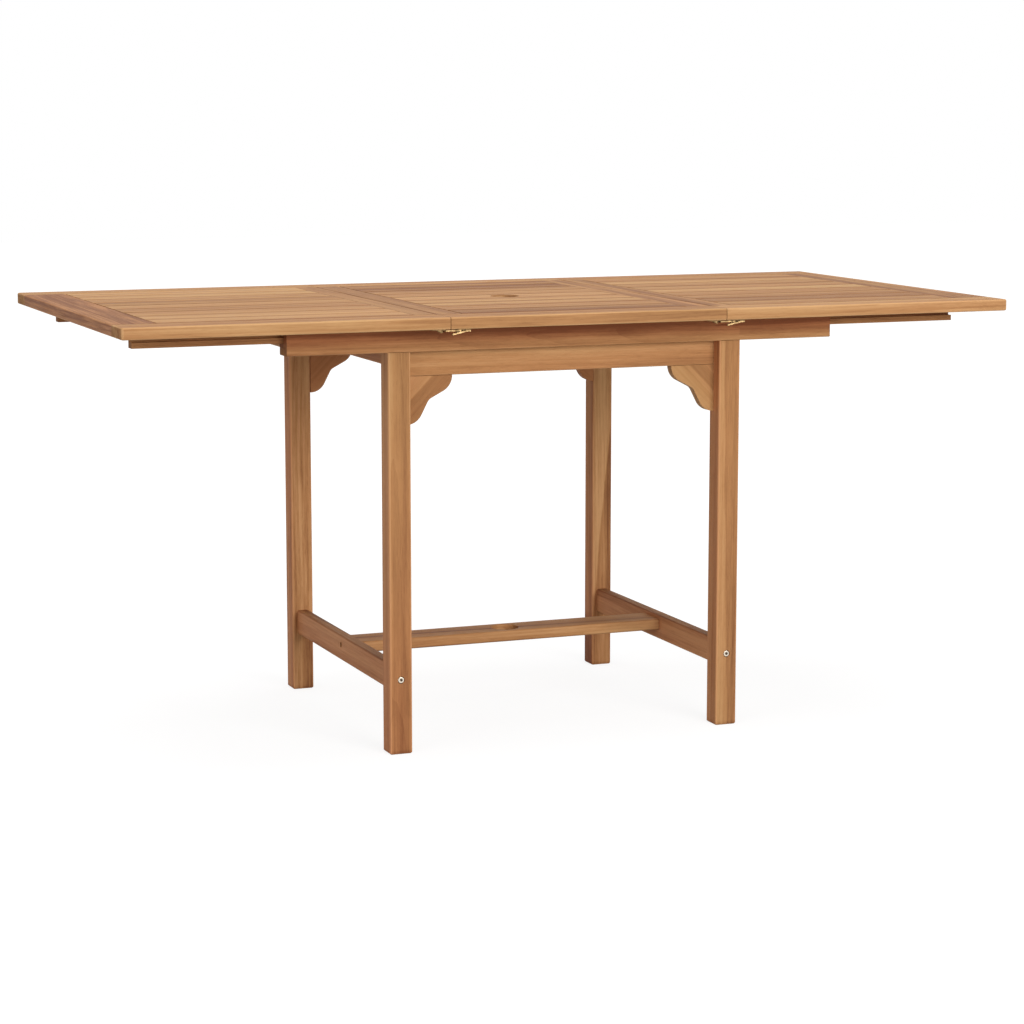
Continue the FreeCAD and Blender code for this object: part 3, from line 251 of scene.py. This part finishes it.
class Tree:
    """A node tree with short calls for the nodes that the finishes are made of."""

    def __init__(self, tree):
        self.tree = tree
        tree.nodes.clear()

    def node(self, kind, **attributes):
        made = self.tree.nodes.new(kind)
        for name, value in attributes.items():
            setattr(made, name, value)
        return made

    def feed(self, socket, value):
        if isinstance(value, bpy.types.NodeSocket):
            self.tree.links.new(value, socket)
        else:
            socket.default_value = value

    def math(self, operation, *values):
        made = self.node("ShaderNodeMath", operation=operation)
        for socket, value in zip(made.inputs, values):
            self.feed(socket, value)
        return made.outputs[0]

    def vector(self, operation, *values):
        made = self.node("ShaderNodeVectorMath", operation=operation)
        for socket, value in zip(made.inputs, values):
            self.feed(socket, value)
        return made.outputs["Value" if operation == "LENGTH" else "Vector"]

    def split(self, vector):
        made = self.node("ShaderNodeSeparateXYZ")
        self.feed(made.inputs[0], vector)
        return made.outputs[:]

    def join(self, x, y, z):
        made = self.node("ShaderNodeCombineXYZ")
        for socket, value in zip(made.inputs, (x, y, z)):
            self.feed(socket, value)
        return made.outputs[0]

    def noise(self, vector, draw, cells, detail, roughness=0.5):
        """Noise from 0 to 1 with so many cells per metre on each axis."""
        made = self.node("ShaderNodeTexNoise", noise_dimensions="4D")
        self.feed(made.inputs["Vector"], self.vector("MULTIPLY", vector, cells))
        self.feed(made.inputs["W"], draw)
        made.inputs["Scale"].default_value = 1.0
        made.inputs["Detail"].default_value = detail
        made.inputs["Roughness"].default_value = roughness
        return made.outputs["Fac"]

    def chance(self, number):
        """Three random values from 0 to 1 for each number."""
        made = self.node("ShaderNodeTexWhiteNoise", noise_dimensions="1D")
        self.feed(made.inputs["W"], number)
        parts = self.node("ShaderNodeSeparateColor")
        self.feed(parts.inputs[0], made.outputs["Color"])
        return parts.outputs[:]

    def span(self, value, low, high, to_low=0.0, to_high=1.0, smooth=False):
        made = self.node("ShaderNodeMapRange", interpolation_type="SMOOTHSTEP" if smooth else "LINEAR")
        for name, number in zip(("Value", "From Min", "From Max", "To Min", "To Max"),
                                (value, low, high, to_low, to_high)):
            self.feed(made.inputs[name], number)
        return made.outputs[0]

    def mix(self, factor, first, second, blend="MIX"):
        made = self.node("ShaderNodeMix", data_type="RGBA", blend_type=blend)
        self.feed(made.inputs[0], factor)
        for socket, colour in zip(made.inputs[6:8], (first, second)):
            self.feed(socket, (*colour, 1.0) if isinstance(colour, tuple) else colour)
        return made.outputs[2]

    def tinted(self, colour, tint):
        return self.mix(1.0, colour, tint, blend="MULTIPLY")

    def bump(self, height, distance):
        made = self.node("ShaderNodeBump")
        made.inputs["Strength"].default_value = 1.0
        made.inputs["Distance"].default_value = distance
        self.feed(made.inputs["Height"], height)
        return made.outputs[0]


def late_wood(tree, along, across, up, layers, chances):
    """Late wood, from 0 to 1, in wandering growth rings round a pith that lies beside or under the board."""
    turn, depth, tightness = chances
    angle = tree.math("MULTIPLY", turn, math.tau)
    far = tree.span(depth, 0.0, 1.0, *PITH_DEPTH)
    from_pith = tree.join(
        0.0,
        tree.math("SUBTRACT", across, tree.math("MULTIPLY", far, tree.math("COSINE", angle))),
        tree.math("SUBTRACT", up, tree.math("MULTIPLY", far, tree.math("SINE", angle))),
    )
    radius = tree.vector("LENGTH", from_pith)
    for wander, reach in ((layers["bend"], RING_BEND), (layers["ripple"], RING_RIPPLE)):
        radius = tree.math("ADD", radius, tree.span(wander, 0.0, 1.0, -reach, reach))
    ring = tree.math("FRACT", tree.math("DIVIDE", radius, tree.span(tightness, 0.0, 1.0, *RING_WIDTH)))
    return tree.math("POWER", ring, LATE_SHARPNESS)


def make_teak_group():
    """The figure of one teak board: grain runs along X, and a board number picks the log it came from."""
    group = bpy.data.node_groups.new("teak_figure", "ShaderNodeTree")
    group.interface.new_socket("Grain", in_out="INPUT", socket_type="NodeSocketVector")
    for name in ("Board", "Tone", "Red", "Spread", "Figure", "End", "Edge"):
        group.interface.new_socket(name, in_out="INPUT", socket_type="NodeSocketFloat")
    group.interface.new_socket("Color", in_out="OUTPUT", socket_type="NodeSocketColor")
    for name in ("Roughness", "Height"):
        group.interface.new_socket(name, in_out="OUTPUT", socket_type="NodeSocketFloat")
    tree = Tree(group)
    given = tree.node("NodeGroupInput").outputs
    board, end = given["Board"], given["End"]
    ring_chances = tree.chance(board)
    own_tone, warmth, slope = tree.chance(tree.math("ADD", board, SECOND_DRAW))
    log = tree.math("MULTIPLY", board, LOG_STEP)

    # The saw never runs quite along the grain
    along, across, up = tree.split(given["Grain"])
    across = tree.math("MULTIPLY_ADD", along, tree.span(slope, 0.0, 1.0, -SAW_SLOPE, SAW_SLOPE), across)
    place = tree.join(along, across, up)

    # Noise drawn out along the grain, from the bends of the rings down to single fibres and open pores
    layers = {}
    for name, (along_cells, across_cells, detail, roughness) in LAYERS.items():
        layers[name] = tree.noise(place, log, (along_cells, across_cells, across_cells), detail, roughness)
    late = late_wood(tree, along, across, up, layers, ring_chances)
    vein = tree.span(layers["vein"], *VEIN_NOISE, smooth=True)
    pore = tree.span(layers["pore"], *PORE_NOISE, smooth=True)
    fibre = layers["fibre"]

    shade = tree.math("MULTIPLY_ADD", late, LATE_SHADE, PLAIN_SHADE)
    for name, weight in STREAK_SHADES.items():
        shade = tree.math("MULTIPLY_ADD", tree.math("SUBTRACT", layers[name], 0.5), weight, shade)
    for part, weight in ((vein, VEIN_SHADE), (pore, PORE_SHADE)):
        shade = tree.math("MULTIPLY_ADD", part, weight, shade)
    shade = tree.math("MULTIPLY", shade, given["Figure"])
    shade = tree.math("MULTIPLY_ADD", given["Edge"], EDGE_SHADE, shade)
    shade = tree.math("MULTIPLY_ADD", tree.span(own_tone, 0.0, 1.0, -1.0, 1.0), given["Spread"], shade)
    shade = tree.math("ADD", shade, given["Tone"])
    pale_part = tree.mix(tree.span(shade, -1.0, 0.0), TEAK_PALE, TEAK_MIDDLE)
    colour = tree.mix(tree.span(shade, 0.0, 1.0), pale_part, TEAK_DARK)
    warmth = tree.span(warmth, 0.0, 1.0, -WARMTH_SPREAD, WARMTH_SPREAD)
    warmth = tree.math("ADD", warmth, tree.span(layers["blush"], *BLUSH_NOISE))
    colour = tree.tinted(colour, tree.mix(warmth, COOL_TINT, WARM_TINT))
    colour = tree.tinted(colour, tree.vector("MULTIPLY_ADD", tree.join(*[given["Red"]] * 3), RED_STEP, WHITE))
    colour = tree.tinted(colour, tree.mix(tree.math("MULTIPLY", end, END_SHARE), WHITE, END_TINT))

    roughness = tree.math("MULTIPLY_ADD", tree.math("SUBTRACT", fibre, 0.5), FIBRE_ROUGHNESS, WOOD_ROUGHNESS)
    roughness = tree.math("MULTIPLY_ADD", end, END_ROUGHNESS, roughness)
    height = tree.math("MULTIPLY", fibre, FIBRE_RELIEF)
    for part, relief in ((pore, PORE_RELIEF), (late, LATE_RELIEF)):
        height = tree.math("SUBTRACT", height, tree.math("MULTIPLY", part, relief))
    out = tree.node("NodeGroupOutput")
    for name, value in (("Color", colour), ("Roughness", roughness), ("Height", height)):
        tree.feed(out.inputs[name], value)
    return group


def new_finish(name):
    material = bpy.data.materials.new(name)
    material.use_nodes = True
    tree = Tree(material.node_tree)
    shader = tree.node("ShaderNodeBsdfPrincipled")
    out = tree.node("ShaderNodeOutputMaterial")
    tree.feed(out.inputs["Surface"], shader.outputs[0])
    return material, tree, shader


def grain_direction(name):
    if name.endswith("_leg"):
        return "height"
    if name.endswith("_bracket"):
        return "rising" if "left" in name else "falling"
    crossing = ("_end_board", "_seam_board", "_left_board", "_right_board", "_short_apron", "_end_rail")
    if name.endswith(crossing) or name in ("left_stretcher", "right_stretcher"):
        return "width"
    return "length"


def sum_of(name, shares):
    return sum(share for ending, share in shares.items() if name.endswith(ending))


def by_ending(name, choices, plain):
    return next((choice for ending, choice in choices.items() if name.endswith(ending)), plain)


def turned(tree, kind, vector, turn):
    """A node that turns a vector of the table's frame so that a board's grain lies along X."""
    made = tree.node("ShaderNodeMapping", vector_type=kind)
    tree.feed(made.inputs["Vector"], vector)
    made.inputs["Rotation"].default_value = turn
    return made


def slat_boards(tree, place, box, board):
    """A place within its own slat, and the slat's board number."""
    lowest, highest = box
    along, across, up = tree.split(place)
    pitch = (highest.y - lowest.y + SLAT_GAP) / SLAT_COUNT
    step = tree.math("MULTIPLY_ADD", across, 1.0 / pitch, SLAT_COUNT / 2)
    in_slat = tree.math("MULTIPLY", tree.math("SUBTRACT", tree.math("FRACT", step), 0.5), pitch)
    return tree.join(along, in_slat, up), tree.math("ADD", tree.math("FLOOR", step), board)


def border_tone(tree, name, place, board, tone):
    """A tone that steps at the border of the heartwood."""
    along, _, up = tree.split(place)
    border, slant, wander, jump = HEART_BORDERS[name]
    wave = tree.noise(place, board, (BORDER_WAVES, 0.0, 0.0), detail=1.0)
    line = tree.math("ADD", up, tree.span(wave, *BORDER_NOISE, -wander, wander))
    line = tree.math("MULTIPLY_ADD", along, slant, line)
    return tree.span(line, border - BORDER_BLUR, border + BORDER_BLUR, tone - jump / 2, tone + jump / 2)


def leg_tone(tree, name, place, box, flank, tone):
    """A leg's tone, darker at its very foot, with streaks at a rear foot and painted shade of the top on its
    flanks.
    """
    lowest, highest = box
    along, _, up = tree.split(place)
    foot = (lowest.z - highest.z) / 2
    tone = tree.math("ADD", tree.span(along, foot, foot + FOOT_DARKENING_HEIGHT, FOOT_DARKENING, 0.0), tone)
    if name in FOOT_STREAKS:
        darker, rightwards = FOOT_STREAKS[name]
        streak = tree.math("MULTIPLY_ADD", up, -2 * rightwards / (highest.x - lowest.x), darker)
        low = tree.span(along, foot + FOOT_FADE[0], foot + FOOT_FADE[1], 1.0, 0.0)
        low = tree.math("MULTIPLY", low, tree.math("SUBTRACT", 1.0, flank))
        tone = tree.math("MULTIPLY_ADD", low, streak, tone)
    shaded = tree.span(along, -foot - LEG_SHADE_DEPTH, -foot, 0.0, LEG_SHADE)
    return tree.math("MULTIPLY_ADD", shaded, flank, tone)


def brim_tone(tree, name, place, box, tone):
    """An end board's tone, with a painted highlight along its outer brim."""
    lowest, highest = box
    outwards = 1.0 if name.startswith("left") else -1.0
    brim = (highest.x - lowest.x) / 2
    outward = tree.math("MULTIPLY", tree.split(place)[1], outwards)
    # The band of painted highlight along the brim
    rubbed = tree.span(outward, brim - BRIM_HIGHLIGHT_WIDTH, brim - BRIM_HIGHLIGHT_WIDTH / 2)
    return tree.math("MULTIPLY_ADD", rubbed, -BRIM_HIGHLIGHT, tone)


def tone_and_red(tree, name, place, normal, box, board):
    """How dark and how red a piece is from place to place, apart from the figure of its grain."""
    lowest, highest = box
    tone, red = sum_of(name, PIECE_TONES), sum_of(name, PIECE_REDS)
    along, _, up = tree.split(place)
    sideways, _, upwards = tree.split(normal)
    flank = tree.math("ABSOLUTE", sideways)
    if name in HEART_BORDERS:
        tone = border_tone(tree, name, place, board, tone)
    if name.endswith("_leg"):
        tone = leg_tone(tree, name, place, box, flank, tone)
    # Painted red of shade on the flanks of the legs and side stretchers
    if name.endswith(("_leg", "left_stretcher", "right_stretcher")):
        red = tree.math("MULTIPLY_ADD", flank, FLANK_SHADE_RED, red)
    # Painted shade and light on the faces towards the ends of the table
    if name.endswith(tuple(PIECE_FLANK_SHADING)):
        darker, redder = by_ending(name, PIECE_FLANK_SHADING, None)
        tone = tree.math("MULTIPLY_ADD", flank, darker, tone)
        red = tree.math("MULTIPLY_ADD", flank, redder, red)
    # Painted shade from the top on an upward face
    if name in PIECE_TOP_SHADES:
        tone = tree.math("MULTIPLY_ADD", tree.math("MAXIMUM", upwards, 0.0), PIECE_TOP_SHADES[name], tone)
    # Painted highlight along an end board's outer brim
    if name.endswith("_end_board"):
        tone = brim_tone(tree, name, place, box, tone)
    if name in PIECE_SLOPES:
        darker, redder = PIECE_SLOPES[name]
        tone = tree.math("MULTIPLY_ADD", along, darker, tone)
        red = tree.math("MULTIPLY_ADD", along, redder, red)
    if name.endswith("_slide_beam"):
        brim = (highest.z - lowest.z) / 2
        shaded = tree.span(up, *[brim - depth for depth in BEAM_SHADE_DEPTHS], smooth=True)
        tone = tree.math("MULTIPLY_ADD", shaded, BEAM_SHADE, tone)
        red = tree.math("ADD", shaded, red)
    return tone, red


def teak_finish(name, board, group):
    """Oiled teak for one node: the grain follows the board, and each slat of a leaf is a board of its own."""
    material, tree, shader = new_finish("teak_" + name)
    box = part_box(name)
    turn = Euler(GRAIN_TURNS[grain_direction(name)])
    source = tree.node("ShaderNodeTexCoord").outputs
    laid = turned(tree, "POINT", source["Object"], turn)
    laid.inputs["Location"].default_value = -(turn.to_matrix() @ ((box[0] + box[1]) / 2))
    place = laid.outputs[0]
    number, spread = float(board), BOARD_SPREAD
    tone, red = tone_and_red(tree, name, place, source["Normal"], box, number)
    if name.endswith("_slats"):
        place, number = slat_boards(tree, place, box, number)
        spread = SLAT_SPREADS[name]
    facing = turned(tree, "VECTOR", source["Normal"], turn).outputs[0]
    slants = [tree.math("ABSOLUTE", part) for part in tree.split(facing)]
    end = tree.span(slants[0], *END_GRAIN, smooth=True)
    flatness = tree.math("MAXIMUM", tree.math("MAXIMUM", slants[0], slants[1]), slants[2])
    # Edges paler with wear and painted highlight, or darker with painted shade where the share is below zero
    edge = tree.span(flatness, *EDGE_ROUNDING, by_ending(name, EDGE_WEAR_AND_SHADING, PLAIN_WEAR_AND_HIGHLIGHT), 0.0)
    figure = tree.node("ShaderNodeGroup", node_tree=group)
    strength = by_ending(name, FIGURES, PLAIN_FIGURE)
    for socket, value in (("Grain", place), ("Board", number), ("Tone", tone), ("Red", red),
                          ("Spread", spread), ("Figure", strength), ("End", end), ("Edge", edge)):
        tree.feed(figure.inputs[socket], value)
    tree.feed(shader.inputs["Base Color"], figure.outputs["Color"])
    tree.feed(shader.inputs["Roughness"], figure.outputs["Roughness"])
    tree.feed(shader.inputs["Normal"], tree.bump(figure.outputs["Height"], WOOD_BUMP))
    if "_leaf_" in name and not name.endswith("_end_board"):
        shader.inputs["Specular IOR Level"].default_value = TOP_SHEEN
    else:
        shader.inputs["Specular IOR Level"].default_value = UNDER_SHEEN
        shader.inputs["Specular Tint"].default_value = UNDER_TINT
    return material


def brass_finish(name, bright, tarnished):
    material, tree, shader = new_finish(name)
    place = tree.node("ShaderNodeTexCoord").outputs["Object"]
    tarnish = tree.noise(place, TARNISH_DRAW, TARNISH_CELLS, detail=4.0)
    brushed = tree.noise(place, BRUSH_DRAW, BRUSH_CELLS, detail=2.0)
    tree.feed(shader.inputs["Base Color"], tree.mix(tree.span(tarnish, *TARNISH_COLOURS), bright, tarnished))
    tree.feed(shader.inputs["Roughness"], tree.span(tarnish, *TARNISH_ROUGHENS, *BRASS_ROUGHNESS))
    tree.feed(shader.inputs["Normal"], tree.bump(brushed, BRASS_BUMP))
    shader.inputs["Metallic"].default_value = 1.0
    return material


def steel_finish(name):
    """Zinc-plated steel; the sockets of the bolts, on axes along X or Y, are dark with painted shade."""
    material, tree, shader = new_finish("steel_" + name)
    place = tree.node("ShaderNodeTexCoord").outputs["Object"]
    cloud = tree.noise(place, CLOUD_DRAW, CLOUD_CELLS, detail=3.0)
    # The screws take the darker plating, with painted shade from the top above them
    bright, dull = SHADED_SCREW_STEEL if name.endswith("_screws") else BOLT_STEEL
    colour = tree.mix(tree.span(cloud, *CLOUD_COLOURS), bright, dull)
    # Painted shade in the sockets of the bolts
    if name.endswith("_bolts"):
        lowest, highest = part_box(name)
        head = (highest.z - lowest.z) / 2
        aside = (highest.x if name == "leg_bolts" else highest.y) - head
        x, y, z = tree.split(place)
        off = tree.math("SUBTRACT", tree.math("ABSOLUTE", x if name == "leg_bolts" else y), aside)
        rise = tree.math("SUBTRACT", z, (lowest.z + highest.z) / 2)
        reach = tree.vector("LENGTH", tree.join(off, rise, 0.0))
        colour = tree.mix(tree.span(reach, SOCKET_RADIUS, SOCKET_RADIUS + SOCKET_BLUR), SOCKET_SHADE, colour)
    tree.feed(shader.inputs["Base Color"], colour)
    tree.feed(shader.inputs["Roughness"], tree.span(cloud, *CLOUD_ROUGHENS, *STEEL_ROUGHNESS))
    tree.feed(shader.inputs["Normal"], tree.bump(cloud, STEEL_BUMP))
    shader.inputs["Metallic"].default_value = 1.0
    return material


def dress(node, material):
    node.data.materials.clear()
    node.data.materials.append(material)


def dress_table():
    group = make_teak_group()
    rubbed = brass_finish("rubbed_brass", *RUBBED_BRASS)
    # The plates' brass: tarnished and darker still with painted shade
    dull = brass_finish("dull_shaded_brass", *DULL_SHADED_BRASS)
    slots = {row["node"]: row["material_slot"] for row in frame["record"]["subparts"]}
    teak_nodes = sorted(name for name in NODES if slots[name] == "teak")
    boards = random.Random(SEED).sample(range(len(teak_nodes)), k=len(teak_nodes))
    for name, board in zip(teak_nodes, boards):
        dress(NODES[name], teak_finish(name, board * (SLAT_COUNT + 1), group))
    for name, node in NODES.items():
        if slots[name] == "catch_brass":
            dress(node, rubbed if name.endswith("_lever") else dull)
        elif slots[name] == "steel":
            dress(node, steel_finish(name))


def make_camera():
    data = bpy.data.cameras.new("photo_camera")
    data.sensor_fit = "HORIZONTAL"
    data.sensor_width = SENSOR_WIDTH
    data.lens = FOCAL_PIXELS / PICTURE_SIDE * SENSOR_WIDTH
    camera = bpy.data.objects.new("photo_camera", data)
    camera.location = CAMERA_PLACE
    camera.rotation_euler = (math.radians(90 - CAMERA_DIP), 0.0, math.radians(-CAMERA_YAW))
    bpy.context.scene.collection.objects.link(camera)
    bpy.context.scene.camera = camera


def make_lamp(name, place, aim, width, depth, power):
    data = bpy.data.lights.new(name, "AREA")
    data.shape = "RECTANGLE"
    data.size = width
    data.size_y = depth
    data.energy = power
    lamp = bpy.data.objects.new(name, data)
    lamp.location = place
    lamp.rotation_euler = (Vector(aim) - Vector(place)).to_track_quat("-Z", "Y").to_euler()
    bpy.context.scene.collection.objects.link(lamp)


def seen_directly(tree):
    """1 for rays that see a surface, straight, mirrored or refracted, and 0 for those it lights by."""
    path = tree.node("ShaderNodeLightPath")
    sight = path.outputs["Is Camera Ray"]
    for way in ("Is Glossy Ray", "Is Transmission Ray"):
        sight = tree.math("MAXIMUM", sight, path.outputs[way])
    return sight


def floor_finish():
    """Matte pale paint that is seen as white, with only a trace of the table's shadow on it."""
    paint = bpy.data.materials.new("floor_paint")
    paint.use_nodes = True
    tree = Tree(paint.node_tree)
    seen = seen_directly(tree)
    distance = tree.vector("LENGTH", tree.node("ShaderNodeTexCoord").outputs["Object"])
    matte = tree.node("ShaderNodeBsdfDiffuse")
    tree.feed(matte.inputs["Color"], tree.mix(seen, FLOOR_PAINT, FLOOR_SEEN))
    glow = tree.node("ShaderNodeEmission")
    white = tree.span(distance, *FLOOR_GLOW_RANGE, *FLOOR_GLOW, smooth=True)
    tree.feed(glow.inputs["Strength"], tree.math("MULTIPLY", seen, white))
    both = tree.node("ShaderNodeAddShader")
    tree.feed(both.inputs[0], matte.outputs[0])
    tree.feed(both.inputs[1], glow.outputs[0])
    tree.feed(tree.node("ShaderNodeOutputMaterial").inputs["Surface"], both.outputs[0])
    return paint


def make_studio():
    """A pale floor and a white surround under soft lamps."""
    world = bpy.data.worlds.new("studio")
    bpy.context.scene.world = world
    world.use_nodes = True
    tree = Tree(world.node_tree)
    surround = tree.node("ShaderNodeBackground")
    surround.inputs["Color"].default_value = (*WHITE, 1.0)
    tree.feed(surround.inputs["Strength"], tree.span(seen_directly(tree), 0.0, 1.0, WORLD_LIGHT, 1.0))
    tree.feed(tree.node("ShaderNodeOutputWorld").inputs["Surface"], surround.outputs[0])

    bpy.ops.mesh.primitive_plane_add(size=FLOOR_SIDE)
    floor = bpy.context.object
    floor.name = "studio_floor"
    floor.data.materials.append(floor_finish())

    for name, settings in LAMPS.items():
        make_lamp(name, *settings)


dress_table()
make_camera()
make_studio()
bpy.context.scene.view_settings.view_transform = "Standard"
